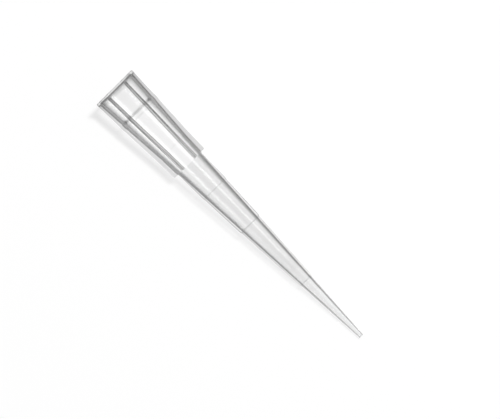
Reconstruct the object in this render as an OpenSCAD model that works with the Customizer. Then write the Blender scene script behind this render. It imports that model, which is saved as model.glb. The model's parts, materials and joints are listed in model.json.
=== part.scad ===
// Finned pipette tip of the 200 microlitre size, moulded in one piece.
// It lies as it comes to rest: on the end corners of two fins and on a ring further down.

/* [Bore] */
// Distance from the mouth to the point
tip_length = 50; // [49.5:0.1:50.5]
// Diameter of the hole at the point
orifice_d = 0.48; // [0.44:0.02:0.52]
// Outer diameter at the point
point_d = 0.68; // [0.64:0.02:0.76]
// Angle between the wall of the straight bore and its axis
bore_angle = 2.75; // [2.7:0.01:2.8]

/* [Graduations] */
// Microlitres held below the low ring
low_ul = 10; // [8:1:12]
// Outer diameter just above the low ring
low_d = 2.22; // [2.16:0.02:2.3]
// Depth of the step at the low ring
low_step = 0.1; // [0.06:0.01:0.12]
// Microlitres held below the middle ring
middle_ul = 50; // [46:1:54]
// Outer diameter just above the middle ring
middle_d = 3.7; // [3.6:0.02:3.8]
// Depth of the step at the middle ring
middle_step = 0.12; // [0.06:0.01:0.14]
// Microlitres held below the high ring
high_ul = 100; // [96:1:104]
// Outer diameter just above the high ring
high_d = 4.42; // [4.36:0.02:4.5]
// Depth of the step at the high ring
high_step = 0.07; // [0.04:0.01:0.1]

/* [Socket] */
// Bore diameter at the mouth, behind its lead-in
mouth_d = 5.48; // [5.4:0.02:5.6]
// Bore diameter where the socket's ledge begins
ledge_d = 4.92; // [4.88:0.02:5]
// Distance from the mouth to the ledge
ledge_z = 4.6; // [4:0.1:5]
// Bore diameter of the land that seals on the nozzle
land_d = 4.82; // [4.78:0.01:4.86]
// Length of the sealing land
land_h = 0.36; // [0.3:0.02:0.5]
// Distance from the mouth to the shoulder at the foot of the socket
shoulder_z = 11.9; // [11.5:0.1:12.3]

/* [Collar] */
// Outer diameter of the ring round the mouth
rim_d = 7.06; // [6.96:0.02:7.14]
// Height of the ring round the mouth
rim_h = 0.55; // [0.45:0.05:0.7]
// Outer diameter of the wall under the ring
collar_d = 6.26; // [6.2:0.02:6.4]
// Outer diameter of the wall at the ledge
waist_d = 5.78; // [5.74:0.02:5.84]
// Outer diameter of the wall at the shoulder
shoulder_d = 4.84; // [4.8:0.02:4.9]
// Outer diameter of the wall at the foot of the fins
foot_d = 4.62; // [4.58:0.02:4.68]

/* [Fins] */
// Number of fins
fin_count = 6; // [6:1:8]
// Thickness of a fin
fin_t = 0.2; // [0.16:0.02:0.3]
// Distance from the mouth to the square end of the fins
fin_end_z = 15.25; // [15:0.05:15.5]
// Diameter over the fins at the ledge
fin_waist_d = 6.76; // [6.7:0.02:6.84]
// Diameter over the fins at the shoulder
fin_shoulder_d = 6.12; // [6.08:0.02:6.2]
// Diameter over the fins at their end
fin_end_d = 5.98; // [5.96:0.02:6.04]

/* [Hidden] */

$fn = 96;
// Radius of the rounded edges of the mouth ring
rim_edge = 0.12;
// Depth of the lead-in at the mouth, which opens at 45 degrees
lead_in = 0.1;
// Height by which the ring at the ledge stands out from the wall and from the fins
bead = 0.06;
// Length of the slope at a ring, at the shoulder and at each side of the bead
slope = 0.1;
// Depth of the step at the shoulder and at the foot of the fins
shoulder_step = 0.025;
// Drop along the axis from the ledge to the land
ledge_h = 0.5;
// How far a fin starts below the surface of the mouth ring
fin_sink = 0.01;
// How far a cutting shape runs past the face that it cuts
past = 1;

orifice_r = orifice_d / 2;
point_r = point_d / 2;
rim_r = rim_d / 2;
bore_slope = tan(bore_angle);
land_z = ledge_z + ledge_h;
land_end_z = land_z + land_h;

// Radius of the straight bore at distance z from the mouth
function bore_r(z) = orifice_r + (tip_length - z) * bore_slope;

// Distance from the mouth to the level below which the straight bore holds ul microlitres
function level_z(ul) =
    let (level_r = pow(pow(orifice_r, 3) + 3 * bore_slope * ul / PI, 1 / 3))
    tip_length - (level_r - orifice_r) / bore_slope;

// The two corners of a step that narrows the wall from diameter d at distance z
function step_in(d, z, depth) = [
    [d / 2, z - slope / 2],
    [d / 2 - depth, z + slope / 2]
];

// The four corners of the bead at the ledge, on a surface of diameter d there
function bead_corners(d) = [
    [d / 2, ledge_z],
    [d / 2 + bead / 2, ledge_z + slope],
    [d / 2 + bead / 2, land_end_z - slope],
    [d / 2 - bead / 2, land_end_z]
];

// At rest the tip's weight is just below the fins. Two of them carry it, half a pitch to
// each side of its lowest line, and the first of these edges to meet the table does the rest.
rest_angle = 180 / fin_count;
fin_depth = fin_end_d / 2 * cos(rest_angle) + fin_t / 2 * sin(rest_angle);
edges = [
    [middle_d / 2, level_z(middle_ul) - slope / 2],
    [low_d / 2, level_z(low_ul) - slope / 2],
    [point_r, tip_length]
];
// Angle at which the axis dips towards the point
dip = min([for (e = edges) atan2(fin_depth - e[0], e[1] - fin_end_z)]);
// Height of the mouth's centre, and its distance behind the middle of the tip's own box
mouth_height = fin_end_z * sin(dip) + fin_depth * cos(dip);
rim_overhang = (rim_r - rim_edge) * sin(dip) + rim_edge * (1 - cos(dip));
mouth_back = (tip_length * cos(dip) + point_r * sin(dip) - rim_overhang) / 2;

// Half section of the wall without its bore, from the mouth down to the point
module wall_outline() {
    polygon(concat(
        [[0, rim_h / 2], [collar_d / 2, rim_h / 2]],
        bead_corners(waist_d),
        step_in(shoulder_d, shoulder_z, shoulder_step),
        step_in(foot_d, fin_end_z, shoulder_step),
        step_in(high_d, level_z(high_ul), high_step),
        step_in(middle_d, level_z(middle_ul), middle_step),
        step_in(low_d, level_z(low_ul), low_step),
        [[point_r, tip_length], [0, tip_length]]
    ));
}

// Half section of the mouth ring, with its two outer edges rounded
module rim_outline() {
    square([rim_r - rim_edge, rim_h]);
    translate([0, rim_edge])
        square([rim_r, rim_h - 2 * rim_edge]);
    for (z = [rim_edge, rim_h - rim_edge])
        translate([rim_r - rim_edge, z])
            circle(rim_edge);
}

// Half section of the socket, the sealing land and the straight bore
module bore_outline() {
    polygon([
        [0, -past],
        [mouth_d / 2 + lead_in + past, -past],
        [mouth_d / 2, lead_in],
        [ledge_d / 2, ledge_z],
        [land_d / 2, land_z],
        [land_d / 2, land_end_z],
        [bore_r(shoulder_z) + shoulder_step, shoulder_z - slope / 2],
        [bore_r(shoulder_z + slope / 2), shoulder_z + slope / 2],
        [bore_r(tip_length + past), tip_length + past],
        [0, tip_length + past]
    ]);
}

// One fin's side view: its inner edge is buried in the wall
module fin_outline() {
    polygon(concat(
        [[land_d / 2, rim_h / 2], [rim_r - fin_sink, rim_h / 2]],
        bead_corners(fin_waist_d),
        [
            [fin_shoulder_d / 2, shoulder_z],
            [fin_end_d / 2, fin_end_z],
            [bore_r(fin_end_z), fin_end_z]
        ]
    ));
}

module fins() {
    for (i = [0 : fin_count - 1])
        rotate([90, 0, rest_angle * (2 * i + 1)])
            translate([0, 0, -fin_t / 2])
                linear_extrude(fin_t)
                    fin_outline();
}

// The tip along +Z, with its mouth at the origin
module upright_tip() {
    difference() {
        union() {
            rotate_extrude()
                wall_outline();
            rotate_extrude()
                rim_outline();
            fins();
        }
        rotate_extrude()
            bore_outline();
    }
}

module pipette_tip() {
    color([0.86, 0.88, 0.89, 0.5])
        translate([-mouth_back, 0, mouth_height])
            rotate([0, 90 + dip, 0])
                upright_tip();
}

pipette_tip();
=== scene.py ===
import json
import math

import bmesh
import bpy
from mathutils import Matrix, Vector


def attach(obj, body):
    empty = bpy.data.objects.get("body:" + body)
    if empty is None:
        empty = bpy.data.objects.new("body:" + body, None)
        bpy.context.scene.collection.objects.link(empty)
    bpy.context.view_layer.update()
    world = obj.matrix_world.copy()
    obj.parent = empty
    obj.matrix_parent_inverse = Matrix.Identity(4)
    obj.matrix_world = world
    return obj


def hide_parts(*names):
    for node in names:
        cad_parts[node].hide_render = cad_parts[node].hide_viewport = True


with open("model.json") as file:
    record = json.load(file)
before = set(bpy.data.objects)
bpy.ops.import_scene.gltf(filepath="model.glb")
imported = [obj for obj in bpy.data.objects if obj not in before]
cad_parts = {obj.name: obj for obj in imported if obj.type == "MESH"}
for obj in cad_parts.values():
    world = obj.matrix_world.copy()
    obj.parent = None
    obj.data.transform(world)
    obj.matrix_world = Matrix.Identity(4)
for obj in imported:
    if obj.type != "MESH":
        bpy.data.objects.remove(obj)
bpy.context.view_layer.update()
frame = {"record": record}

mm = 0.001

# The tip's own axes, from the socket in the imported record: along runs from mouth to point
nozzleSeat = {
    "mount": "socket",
    "depth": 5.28,        # millimetres from the mouth to the middle of the sealing land
}
mount = next(m for m in frame["record"]["mounts"] if m["name"] == nozzleSeat["mount"])
along = -Vector(mount["axis"]).normalized()
aside = Vector((0, 1, 0))
above = along.cross(aside)
mouth = Vector(mount["pos_m"]) - along * nozzleSeat["depth"] * mm
# Takes a shape in millimetres, with its mouth at the origin and its point up, to where the tip lies
place = Matrix((
    (-above.x * mm, aside.x * mm, along.x * mm, mouth.x),
    (-above.y * mm, aside.y * mm, along.y * mm, mouth.y),
    (-above.z * mm, aside.z * mm, along.z * mm, mouth.z),
    (0, 0, 0, 1),
))
print("tip axis", [round(v, 4) for v in along], "mouth", [round(v * 1000, 3) for v in mouth])


def deselectAll():
    if bpy.context.object and bpy.context.object.mode != "OBJECT":
        bpy.ops.object.mode_set(mode="OBJECT")
    bpy.ops.object.select_all(action="DESELECT")


def pick(obj):
    deselectAll()
    obj.select_set(True)
    bpy.context.view_layer.objects.active = obj


def selectEdges(obj, wanted):
    edit = bmesh.from_edit_mesh(obj.data)
    for item in list(edit.faces) + list(edit.edges) + list(edit.verts):
        item.select = False
    for edge in edit.edges:
        if wanted(edge):
            edge.select_set(True)
    bmesh.update_edit_mesh(obj.data)


def applyModifier(obj, kind, **values):
    pick(obj)
    modifier = obj.modifiers.new(kind.lower(), kind)
    for name, value in values.items():
        setattr(modifier, name, value)
    bpy.ops.object.modifier_apply(modifier=modifier.name)


# Lengths, radii and distances from the mouth are in millimetres, and pairs are radius and distance
moulding = {
    "sides": 128,
    "length": 50.0,
    "orifice": 0.24,
    "point": 0.34,
    "boreAngle": 2.75,    # degrees between the bore's wall and the axis
    "rings": [(100, 2.21, 0.07), (50, 1.85, 0.12), (10, 1.11, 0.10)],      # microlitres, radius, step
    "rimRadius": 3.528,
    "rimHeight": 0.55,
    "collar": [(3.115, 0.55), (2.89, 4.6), (2.92, 4.7), (2.92, 5.36), (2.86, 5.46),
               (2.42, 11.85), (2.395, 11.95), (2.31, 15.2), (2.285, 15.3)],
    "socket": [(2.84, 0), (2.74, 0.1), (2.46, 4.6), (2.41, 5.1), (2.41, 5.46)],
    "shoulder": (11.85, 11.95, 0.022),     # where the bore's shoulder starts and ends, and its step
    "slope": 0.1,         # length of the slope at a graduation ring
    "rimEdge": (0.12, 5),          # width and segments of a rounded edge
    "rimFillet": (0.1, 4),
    "smallEdge": (0.022, 2),
    "smoothUpTo": 35,     # degrees between two faces that still look like one surface
    "weld": 0.001,
}
sameWithin = 0.0001       # places that differ by less are the same
onRing = (0.004, 0.002)   # how near in radius and distance an edge is to the ring it belongs to


def boreRadius(z):
    return moulding["orifice"] + (moulding["length"] - z) * math.tan(math.radians(moulding["boreAngle"]))


# Distance from the mouth to the level below which the straight bore holds so much
def levelOf(microlitres):
    slope = math.tan(math.radians(moulding["boreAngle"]))
    radius = (moulding["orifice"] ** 3 + 3 * slope * microlitres / math.pi) ** (1 / 3)
    return moulding["length"] - (radius - moulding["orifice"]) / slope


def wallStations():
    stations = list(moulding["collar"])
    for microlitres, radius, step in moulding["rings"]:
        z = levelOf(microlitres)
        stations += [(radius, z - moulding["slope"] / 2), (radius - step, z + moulding["slope"] / 2)]
    return stations + [(moulding["point"], moulding["length"])]


def boreStations():
    start, end, step = moulding["shoulder"]
    return moulding["socket"] + [
        (boreRadius(start) + step, start),
        (boreRadius(end), end),
        (moulding["orifice"], moulding["length"]),
    ]


def radiusAt(stations, z):
    for (r0, z0), (r1, z1) in zip(stations, stations[1:]):
        if z0 <= z <= z1:
            return r0 + (r1 - r0) * (z - z0) / (z1 - z0)
    return stations[0][0] if z < stations[0][1] else stations[-1][0]


def bevelRings(obj, places, rounding):
    nearRadius, nearZ = onRing
    offset, segments = rounding

    def wanted(edge):
        a, b = (vert.co for vert in edge.verts)
        return abs(a.z - b.z) < sameWithin and any(
            abs(a.z - z) < nearZ and all(abs(end.xy.length - r) < nearRadius for end in (a, b))
            for r, z in places
        )

    selectEdges(obj, wanted)
    bpy.ops.mesh.bevel(offset=offset, segments=segments, affect="EDGES", clamp_overlap=False)


# The wall grows ring by ring: round the rim, down the outside, and back up the bore
def makeMoulding():
    rim = [(moulding["rimRadius"], 0), (moulding["rimRadius"], moulding["rimHeight"])]
    wall, bore = wallStations(), boreStations()
    stations = bore[:1] + rim + wall + bore[::-1]
    deselectAll()
    radius, z = stations[0]
    bpy.ops.mesh.primitive_circle_add(vertices=moulding["sides"], radius=radius, location=(0, 0, z))
    obj = bpy.context.object
    obj.name = "tip_moulding"
    bpy.ops.object.mode_set(mode="EDIT")
    bpy.ops.mesh.select_mode(type="EDGE")
    bpy.ops.mesh.select_all(action="SELECT")
    for nextRadius, nextZ in stations[1:]:
        bpy.ops.mesh.extrude_edges_move(TRANSFORM_OT_translate={"value": (0, 0, nextZ - z)})
        scale = nextRadius / radius
        bpy.ops.transform.resize(value=(scale, scale, 1), center_override=(0, 0, nextZ))
        radius, z = nextRadius, nextZ
    bpy.ops.mesh.select_all(action="SELECT")
    bpy.ops.mesh.remove_doubles(threshold=moulding["weld"])
    bpy.ops.mesh.normals_make_consistent(inside=False)
    bevelRings(obj, rim, moulding["rimEdge"])
    bevelRings(obj, wall[:1], moulding["rimFillet"])
    bevelRings(obj, wall[1:] + bore[1:-1], moulding["smallEdge"])
    bpy.ops.object.mode_set(mode="OBJECT")
    return obj


fin = {
    "count": 6,
    "thickness": 0.2,
    "root": 0.15,         # how deep a fin starts below the wall's surface
    "flare": (0.32, 0.13, 0.09),      # width at the root, where it starts to narrow, and over what height
    "outer": [(3.52, 0.275), (3.38, 4.6), (3.41, 4.7), (3.41, 5.36), (3.35, 5.46),
              (3.06, 11.9), (2.99, 15.25)],
    "edge": (0.03, 2),    # width and segments of its rounded edges
    "edgeFrom": 0.15,     # how far above the wall an edge is rounded
}


# A fin is drawn across at its mouth end, and grows down the collar in steps
def makeFin():
    outer = fin["outer"]
    inner = [(radiusAt(moulding["collar"], z) - fin["root"], z) for _, z in outer]
    width = outer[0][0] - inner[0][0]
    wide, low, high = fin["flare"]
    deselectAll()
    bpy.ops.mesh.primitive_plane_add(size=1, location=(0, 0, 0))
    obj = bpy.context.object
    obj.name = "fin"
    bpy.ops.object.mode_set(mode="EDIT")
    bpy.ops.mesh.select_mode(type="EDGE")
    bpy.ops.mesh.select_all(action="SELECT")
    bpy.ops.transform.resize(value=(low, wide, 1))
    bpy.ops.transform.translate(value=(inner[0][0] + low / 2, 0, outer[0][1]))
    selectEdges(obj, lambda edge: all(vert.co.x > inner[0][0] + low / 2 for vert in edge.verts))
    bpy.ops.mesh.extrude_edges_move(TRANSFORM_OT_translate={"value": (high, 0, 0)})
    bpy.ops.transform.resize(value=(1, fin["thickness"] / wide, 1))
    bpy.ops.mesh.extrude_edges_move(TRANSFORM_OT_translate={"value": (width - low - high, 0, 0)})
    bpy.ops.mesh.select_mode(type="FACE")
    bpy.ops.mesh.select_all(action="SELECT")
    for (foot, z), (nextFoot, nextZ), (reach, _) in zip(inner, inner[1:], outer[1:]):
        step = (nextFoot - foot, 0, nextZ - z)
        bpy.ops.mesh.extrude_region_move(TRANSFORM_OT_translate={"value": step})
        nextWidth = reach - nextFoot
        scale = nextWidth / width
        bpy.ops.transform.resize(value=(scale, 1, 1), center_override=(nextFoot, 0, nextZ))
        width = nextWidth
    bpy.ops.mesh.select_all(action="SELECT")
    bpy.ops.mesh.normals_make_consistent(inside=False)
    bpy.ops.mesh.select_mode(type="EDGE")
    endFoot, endZ = inner[-1]

    def outerEdge(edge):
        a, b = (vert.co for vert in edge.verts)
        middle = (a + b) / 2
        lengthways = abs(a.y - b.y) < sameWithin < abs(a.z - b.z)
        outside = middle.x > radiusAt(moulding["collar"], middle.z) + fin["edgeFrom"]
        atEnd = all(abs(end.z - endZ) < sameWithin for end in (a, b))
        return lengthways and outside or atEnd and middle.x > endFoot + low + high

    selectEdges(obj, outerEdge)
    offset, segments = fin["edge"]
    bpy.ops.mesh.bevel(offset=offset, segments=segments, affect="EDGES", clamp_overlap=False)
    bpy.ops.object.mode_set(mode="OBJECT")
    return obj


def makeTip():
    body = makeMoulding()
    first = makeFin()
    fins = [first]
    for _ in range(1, fin["count"]):
        other = first.copy()
        other.data = first.data.copy()
        bpy.context.scene.collection.objects.link(other)
        fins.append(other)
    deselectAll()
    for i, other in enumerate(fins):
        other.rotation_euler.z = math.tau / fin["count"] * (i + 0.5)
        other.select_set(True)
    bpy.context.view_layer.objects.active = first
    bpy.ops.object.join()
    bpy.ops.object.transform_apply(location=True, rotation=True, scale=True)
    applyModifier(body, "BOOLEAN", operation="UNION", solver="EXACT", object=first)
    bpy.data.objects.remove(first)
    # Faces that the fins cut are split the same way each time
    applyModifier(body, "TRIANGULATE", ngon_method="BEAUTY", min_vertices=5)
    pick(body)
    bpy.ops.object.shade_smooth_by_angle(angle=math.radians(moulding["smoothUpTo"]))
    body.data.transform(place)
    return body


tip = makeTip()
print("tip moulding", len(tip.data.vertices), "vertices", len(tip.data.polygons), "faces")

# What tells the moulding's surfaces apart. Lengths are in millimetres, and a lean is how much of a
# face's normal points that way
zones = {
    "boreLean": 0.3,           # a face of the bore leans this much towards the axis
    "fins": (0.56, 15.3),      # the fins are between these distances from the mouth
    "finHeight": 0.05,         # where a fin's face is this far above the wall
    "finLean": 0.3,            # or leans this much round the tip
    "steps": (15.35, 49),      # the graduation steps are between these distances
    "stepLean": 0.25,          # and lean this much along the tip
    # The root mark places painted shade at the foot of each fin
    "rootHeight": 0.55,        # the root mark fades to nothing at this height above the wall
}


# Marks each face as bore, fin or step, and each point by how near the wall it is
def markZones(obj):
    mesh = obj.data
    faceMarks = ("bore", "fin", "step")
    for name in faceMarks:
        mesh.attributes.new(name, "FLOAT", "FACE")
    mesh.attributes.new("root", "FLOAT", "POINT")
    marks = {name: mesh.attributes[name].data for name in (*faceMarks, "root")}
    back = place.inverted()
    turn = back.to_3x3()
    wall, bore = wallStations(), boreStations()
    finStart, finEnd = zones["fins"]
    stepStart, stepEnd = zones["steps"]
    for i, face in enumerate(mesh.polygons):
        spot = back @ face.center
        normal = (turn @ face.normal).normalized()
        r, z = spot.xy.length, spot.z
        outwards = normal.xy.dot(spot.xy) / r
        sideways = abs(normal.x * spot.y - normal.y * spot.x) / r
        outer = radiusAt(wall, z)
        isBore = outwards < -zones["boreLean"] and r < (radiusAt(bore, z) + outer) / 2
        standsOut = r > outer + zones["finHeight"] or sideways > zones["finLean"]
        isFin = not isBore and finStart < z < finEnd and standsOut
        slopes = abs(normal.z) > zones["stepLean"]
        isStep = not isBore and not isFin and stepStart < z < stepEnd and slopes
        marks["bore"][i].value = isBore
        marks["fin"][i].value = isFin
        marks["step"][i].value = isStep
    for i, point in enumerate(mesh.vertices):
        spot = back @ point.co
        height = spot.xy.length - radiusAt(wall, spot.z)
        marks["root"][i].value = min(1, max(0, 1 - height / zones["rootHeight"]))
    print("marked faces", {name: sum(mark.value > 0 for mark in marks[name]) for name in faceMarks})


markZones(tip)

# Haze is the share of light lost at a surface: the plastic's own haze, and painted shade where the
# moulding would bend light into dark lines and bands. Edge is how strongly a surface darkens as it
# turns away from the eye, where a turn of 0 is face on and 1 is edge on: painted shade for the dark
# outlines that reflection and bending give a clear wall. Lists hold pairs: millimetres from the
# mouth, and the value there
plastic = {
    # The wall's haze is partly the plastic's own and partly painted shade: the dark line under the rim
    # and the thin lines at the bead, the shoulder, the end of the fins and the point
    "wallHaze": [(0.1, 0.02), (0.24, 0.03), (0.35, 0.16), (0.42, 0.66), (0.53, 0.66), (0.6, 0.28),
                 (0.74, 0.16), (0.88, 0.15), (1.03, 0.08), (1.3, 0.03), (5.34, 0.025), (5.43, 0.14),
                 (5.52, 0.016), (11.8, 0.016), (11.9, 0.05), (12, 0.016), (15.2, 0.016), (15.3, 0.05),
                 (30, 0.055), (36, 0.064), (41, 0.05), (49.7, 0.04), (49.9, 0.1)],
    # The bore's haze is partly the plastic's own and partly painted shade: the dark band at the sealing
    # land and the step at the end of the fins
    "boreHaze": [(1, 0.04), (4.2, 0.035), (4.45, 0.06), (4.6, 0.16), (4.73, 0.28), (4.87, 0.2),
                 (5.02, 0.05), (5.1, 0.028), (15.2, 0.026), (15.3, 0.06), (30, 0.066), (36, 0.076),
                 (41, 0.06), (49.9, 0.05)],
    # Painted shade: the dark bands a fin shows, drawn as haze
    "finHaze": [(0.6, 0.48), (1.5, 0.42), (3, 0.35), (8, 0.3), (15, 0.27)],
    "flankTurn": (0.05, 0.35),     # between these turns a fin's painted shade grows
    "flankShare": 0.6,             # from this share of it to all of it
    "rootHaze": 0.35,              # more painted shade on a fin
    "rootFrom": 0.85,              # where its root mark is above this
    # Painted shade: the dark line at each graduation step
    "stepHaze": 0.16,
    # Painted shade: each surface darkens as it turns from the eye, and the bore most at the sealing land
    "wallEdge": [(0.12, 0.35), (0.15, 0.6), (0.4, 0.6), (0.6, 0.45), (15.2, 0.5), (15.3, 0.68),
                 (36, 0.7), (50, 0.45)],
    "innerEdge": [(0.5, 0.0), (0.62, 0.84), (4.6, 0.82), (5.5, 0.75), (9, 0.78), (15.2, 0.9),
                  (15.3, 1.0), (36, 1.0), (50, 0.9)],      # for a surface met from inside the plastic
    "boreEdge": [(0.5, 0.0), (0.62, 0.3), (4.4, 0.3), (4.6, 0.95), (4.92, 0.95), (5.04, 0.3)],
    "finEdge": 0.12,
    "rootEdge": 1.2,               # painted shade added to it at the root, and less above
    "wallStart": 0.5,              # the turn from which a surface darkens
    "boreStart": [(15.2, 0.33), (15.3, 0.2)],
    "wallRamp": (0.9, 0.85),       # the turn at which it is darkest, and how dark it is there
    "boreRamp": (0.67, 0.72),
    "ior": 1.14,                   # low, so that the wall bends little of what shows through it
    "absorption": 40.0,            # per metre
    "shineIor": 1.49,
    "wallShine": [(0.42, 0.2), (0.5, 1)],        # how much of its gloss it has there
    "boreShine": [(4.6, 0.25), (5.1, 0.6), (15.2, 0.6), (15.3, 0.9)],
    "shineRoughness": (0.26, 0.28),
    "blotch": 300,                 # how often the polish changes, per metre
    "streak": (60, 900, 900),      # how often the streaks change along and across, per metre
    "streakDepth": 0.08,           # share of the haze
    "polish": 0.006,               # strength of the streaks in the gloss
    "polishHeight": 0.001,         # millimetres
    "noiseRange": (0.3, 0.7),      # values of the noise between which most of it lies
}


def makePlastic():
    material = bpy.data.materials.new("clearPolypropylene")
    material.use_nodes = True
    nodes, links = material.node_tree.nodes, material.node_tree.links
    nodes.remove(nodes["Principled BSDF"])
    output = nodes["Material Output"]

    def feed(socket, value):
        if isinstance(value, (int, float, tuple, Vector)):
            socket.default_value = value
        else:
            links.new(value, socket)

    def maths(operation, *values):
        node = nodes.new("ShaderNodeMath")
        node.operation = operation
        for socket, value in zip(node.inputs, values):
            feed(socket, value)
        return node.outputs[0]

    def vectorMaths(operation, first, second):
        node = nodes.new("ShaderNodeVectorMath")
        node.operation = operation
        feed(node.inputs[0], first)
        feed(node.inputs[1], second)
        return node

    def between(value, low, high, newLow, newHigh, smooth=False):
        node = nodes.new("ShaderNodeMapRange")
        if smooth:
            node.interpolation_type = "SMOOTHSTEP"
        for name, number in (("Value", value), ("From Min", low), ("From Max", high),
                             ("To Min", newLow), ("To Max", newHigh)):
            feed(node.inputs[name], number)
        return node.outputs["Result"]

    def profile(distance, stops):
        node = nodes.new("ShaderNodeValToRGB")
        ramp = node.color_ramp
        while len(ramp.elements) < len(stops):
            ramp.elements.new(0.5)
        for element, (z, value) in zip(ramp.elements, stops):
            element.position = math.sqrt(z / moulding["length"])
            element.color = (value, value, value, 1)
        links.new(distance, node.inputs["Fac"])
        return node.outputs["Color"]

    def blend(share, first, second):
        node = nodes.new("ShaderNodeMix")
        feed(node.inputs["Factor"], share)
        feed(node.inputs["A"], first)
        feed(node.inputs["B"], second)
        return node.outputs["Result"]

    def mixShaders(share, first, second):
        node = nodes.new("ShaderNodeMixShader")
        for socket, value in zip(node.inputs, (share, first, second)):
            feed(socket, value)
        return node.outputs[0]

    def zone(name):
        node = nodes.new("ShaderNodeAttribute")
        node.attribute_name = name
        return node.outputs["Fac"]

    spot = nodes.new("ShaderNodeTexCoord").outputs["Object"]
    # The square root leaves most of each ramp to the crowded mouth end
    fromMouth = vectorMaths("SUBTRACT", spot, mouth).outputs[0]
    metres = vectorMaths("DOT_PRODUCT", fromMouth, along).outputs["Value"]
    distance = maths("SQRT", maths("DIVIDE", metres, moulding["length"] * mm))
    isBore, isFin, isStep, root = (zone(name) for name in ("bore", "fin", "step", "root"))

    def wallOrBore(what):
        wall, bore = (profile(distance, plastic[side + what]) for side in ("wall", "bore"))
        return blend(isBore, wall, bore)

    # Flow streaks run with the melt, and the polish of the mould is blotchy
    grain = nodes.new("ShaderNodeMapping")
    grain.inputs["Rotation"].default_value = (0, math.asin(along.z), 0)
    grain.inputs["Scale"].default_value = plastic["streak"]
    links.new(spot, grain.inputs["Vector"])
    streaks = nodes.new("ShaderNodeTexNoise")
    streaks.inputs["Scale"].default_value = 1.0
    links.new(grain.outputs["Vector"], streaks.inputs["Vector"])
    blotches = nodes.new("ShaderNodeTexNoise")
    blotches.inputs["Scale"].default_value = plastic["blotch"]
    links.new(spot, blotches.inputs["Vector"])
    low, high = plastic["noiseRange"]
    depth = plastic["streakDepth"]
    flow = between(streaks.outputs["Fac"], low, high, 1 - depth, 1 + depth)

    # All of the haze at a surface, with the painted shade of its dark lines, the fins, the steps and the
    # fin roots
    facing = nodes.new("ShaderNodeLayerWeight")
    facing.inputs["Blend"].default_value = 0.5
    # Painted shade: a fin darkens more as it turns from the eye
    flank = between(facing.outputs["Facing"], *plastic["flankTurn"], plastic["flankShare"], 1.0)
    finHaze = maths("MULTIPLY", flank, profile(distance, plastic["finHaze"]))
    hazeAndPaintedShade = blend(isFin, wallOrBore("Haze"), finHaze)
    # Painted shade on the graduation steps
    hazeAndPaintedShade = maths("ADD", hazeAndPaintedShade, maths("MULTIPLY", isStep, plastic["stepHaze"]))
    # Painted shade where a fin meets the wall
    foot = maths("MULTIPLY", isFin, maths("GREATER_THAN", root, plastic["rootFrom"]))
    hazeAndPaintedShade = maths("ADD", hazeAndPaintedShade, maths("MULTIPLY", foot, plastic["rootHaze"]))
    hazeAndPaintedShade = maths("MULTIPLY", hazeAndPaintedShade, flow)

    # Painted shade: a surface darkens as it turns from the eye, for the dark outlines that reflection
    # and bending give a clear wall. Dark comes from the turn alone, and strength is how much of it each
    # place takes
    inside = nodes.new("ShaderNodeNewGeometry").outputs["Backfacing"]
    within = maths("MULTIPLY", inside, profile(distance, plastic["innerEdge"]))
    finEdge = maths("ADD", plastic["finEdge"], maths("MULTIPLY", root, plastic["rootEdge"]))
    strength = blend(isFin, maths("MAXIMUM", wallOrBore("Edge"), within), finEdge)
    start = blend(isBore, plastic["wallStart"], profile(distance, plastic["boreStart"]))
    full, deep = (blend(isBore, w, b) for w, b in zip(plastic["wallRamp"], plastic["boreRamp"]))
    dark = between(facing.outputs["Facing"], start, full, 0.0, deep, smooth=True)
    through = maths("SUBTRACT", 1.0, maths("MULTIPLY", dark, strength))
    through = maths("MULTIPLY", through, maths("SUBTRACT", 1.0, hazeAndPaintedShade))

    glass = nodes.new("ShaderNodeBsdfGlass")
    glass.inputs["IOR"].default_value = plastic["ior"]
    glass.inputs["Roughness"].default_value = 0.0
    links.new(through, glass.inputs["Color"])
    shine = nodes.new("ShaderNodeBsdfGlossy")
    roughness = between(blotches.outputs["Fac"], low, high, *plastic["shineRoughness"])
    links.new(roughness, shine.inputs["Roughness"])
    polish = nodes.new("ShaderNodeBump")
    polish.inputs["Strength"].default_value = plastic["polish"]
    polish.inputs["Distance"].default_value = plastic["polishHeight"] * mm
    links.new(streaks.outputs["Fac"], polish.inputs["Height"])
    links.new(polish.outputs["Normal"], shine.inputs["Normal"])
    fresnel = nodes.new("ShaderNodeFresnel")
    fresnel.inputs["IOR"].default_value = plastic["shineIor"]
    gloss = maths("MULTIPLY", fresnel.outputs[0], maths("SUBTRACT", 1.0, inside))
    gloss = maths("MULTIPLY", gloss, wallOrBore("Shine"))
    # To a shadow ray the plastic is plain and clear, so that light reaches the floor
    clear = nodes.new("ShaderNodeBsdfTransparent")
    links.new(through, clear.inputs["Color"])
    shadow = nodes.new("ShaderNodeLightPath").outputs["Is Shadow Ray"]
    surface = mixShaders(gloss, glass.outputs[0], shine.outputs[0])
    links.new(mixShaders(shadow, surface, clear.outputs[0]), output.inputs["Surface"])
    absorb = nodes.new("ShaderNodeVolumeAbsorption")
    absorb.inputs["Color"].default_value = (0.0, 0.0, 0.0, 1)
    absorb.inputs["Density"].default_value = plastic["absorption"]
    links.new(absorb.outputs["Volume"], output.inputs["Volume"])
    return material


tip.data.materials.clear()
tip.data.materials.append(makePlastic())
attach(tip, "root")
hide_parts("pipette_tip")
print("plastic on", tip.name)


# Adds the rays that come by way of gloss or clear plastic to the share of rays that see a light
def addRays(tree, share, path):
    for name in ("Is Glossy Ray", "Is Transmission Ray"):
        node = tree.nodes.new("ShaderNodeMath")
        node.operation = "MAXIMUM"
        tree.links.new(share, node.inputs[0])
        tree.links.new(path.outputs[name], node.inputs[1])
        share = node.outputs[0]
    return share


floor = {
    "size": 6.0,          # metres
    "colour": (0.95, 0.95, 0.95, 1),
    "roughness": 0.6,
    "glow": 0.68,         # share of plain white in what the camera sees, which keeps the shadow pale
    "drop": 0.02,         # millimetres below the tip
}


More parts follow.
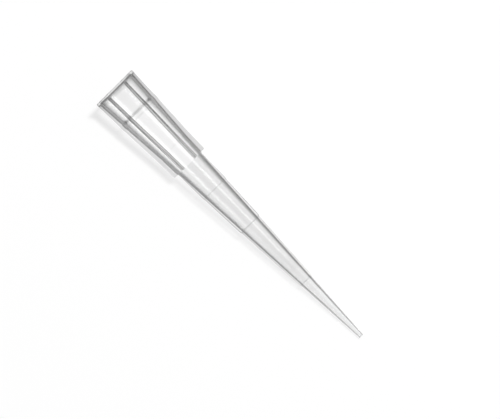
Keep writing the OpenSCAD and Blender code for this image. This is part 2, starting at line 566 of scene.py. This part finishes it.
def makeFloor():
    deselectAll()
    bpy.ops.mesh.primitive_plane_add(size=floor["size"], location=(0, 0, -floor["drop"] * mm))
    obj = bpy.context.object
    obj.name = "floor"
    material = bpy.data.materials.new("paleFloor")
    material.use_nodes = True
    nodes, links = material.node_tree.nodes, material.node_tree.links
    shader = nodes["Principled BSDF"]
    shader.inputs["Base Color"].default_value = floor["colour"]
    shader.inputs["Roughness"].default_value = floor["roughness"]
    glow = nodes.new("ShaderNodeEmission")
    path = nodes.new("ShaderNodeLightPath")
    seen = nodes.new("ShaderNodeMath")
    seen.operation = "MULTIPLY"
    seen.inputs[1].default_value = floor["glow"]
    links.new(path.outputs["Is Camera Ray"], seen.inputs[0])
    mix = nodes.new("ShaderNodeMixShader")
    links.new(addRays(material.node_tree, seen.outputs[0], path), mix.inputs["Fac"])
    links.new(shader.outputs["BSDF"], mix.inputs[1])
    links.new(glow.outputs["Emission"], mix.inputs[2])
    links.new(mix.outputs["Shader"], nodes["Material Output"].inputs["Surface"])
    obj.data.materials.append(material)


makeFloor()
print("floor", floor["size"], "metres")

studio = {
    "worldSeen": 1.0,     # strength of the white world where it is seen
    "world": 0.21,        # and where it only lights the scene
}


def makeWorld():
    world = bpy.data.worlds.new("studio")
    bpy.context.scene.world = world
    world.use_nodes = True
    nodes, links = world.node_tree.nodes, world.node_tree.links
    background = nodes["Background"]
    background.inputs["Color"].default_value = (1, 1, 1, 1)
    path = nodes.new("ShaderNodeLightPath")
    strength = nodes.new("ShaderNodeMapRange")
    strength.inputs["To Min"].default_value = studio["world"]
    strength.inputs["To Max"].default_value = studio["worldSeen"]
    # A ray that has bounced off the floor lights the scene, whatever it does later
    direct = nodes.new("ShaderNodeMath")
    direct.operation = "SUBTRACT"
    direct.use_clamp = True
    links.new(addRays(world.node_tree, path.outputs["Is Camera Ray"], path), direct.inputs[0])
    links.new(path.outputs["Diffuse Depth"], direct.inputs[1])
    links.new(direct.outputs[0], strength.inputs["Value"])
    links.new(strength.outputs["Result"], background.inputs["Strength"])


makeWorld()
print("world", studio["world"], "seen as", studio["worldSeen"])

# A lamp stands so many degrees from straight overhead, across the tip, and its distance and size are
# in metres. One that shines is only seen in the plastic, and the other only lights the scene
lamps = {
    "softLeft": {"degrees": -40, "distance": 0.8, "size": (0.6, 0.24), "radiance": 8, "shine": True},
    "lowLeft": {"degrees": -83, "distance": 0.8, "size": (0.6, 0.24), "radiance": 4.2, "shine": True},
    "keyLamp": {"degrees": 25, "distance": 1.2, "size": (0.15, 0.15), "radiance": 188, "shine": False},
}


def makeLamp(name, lamp):
    angle = math.radians(lamp["degrees"])
    back = aside * math.sin(angle) + Vector((0, 0, 1)) * math.cos(angle)
    right = Vector((1, 0, 0))
    turn = Matrix((right, back.cross(right), back)).transposed().to_4x4()
    length, width = lamp["size"]
    deselectAll()
    bpy.ops.object.light_add(type="AREA", location=back * lamp["distance"])
    obj = bpy.context.object
    obj.name = name
    obj.data.shape = "RECTANGLE"
    obj.data.size = length
    obj.data.size_y = width
    obj.data.energy = lamp["radiance"] * math.pi * length * width
    obj.matrix_world = Matrix.Translation(back * lamp["distance"]) @ turn
    obj.visible_glossy = obj.visible_transmission = lamp["shine"]
    obj.visible_diffuse = not lamp["shine"]


for lampName, lampValues in lamps.items():
    makeLamp(lampName, lampValues)
print("lamps", list(lamps))

view = {
    "fieldWidth": 71.28,      # millimetres across the view
    "roll": 45.17,            # degrees
    "along": 26.0,            # millimetres from the mouth to the middle of the view
    "aside": 1.474,           # and from the tip's axis
    "distance": 2000,         # millimetres
    "clip": (0.01, 10),       # metres
}


def makeCamera():
    target = mouth + (along * view["along"] + aside * view["aside"]) * mm
    roll = math.radians(view["roll"])
    right = along * math.cos(roll) + aside * math.sin(roll)
    up = aside * math.cos(roll) - along * math.sin(roll)
    turn = Matrix((right, up, above)).transposed().to_4x4()
    deselectAll()
    bpy.ops.object.camera_add(location=(0, 0, 0))
    obj = bpy.context.object
    obj.name = "camera"
    obj.matrix_world = Matrix.Translation(target + above * view["distance"] * mm) @ turn
    obj.data.lens = obj.data.sensor_width * view["distance"] / view["fieldWidth"]
    obj.data.clip_start, obj.data.clip_end = view["clip"]
    bpy.context.scene.camera = obj


makeCamera()
bpy.context.scene.view_settings.view_transform = "Standard"
print("camera field", view["fieldWidth"], "millimetres")
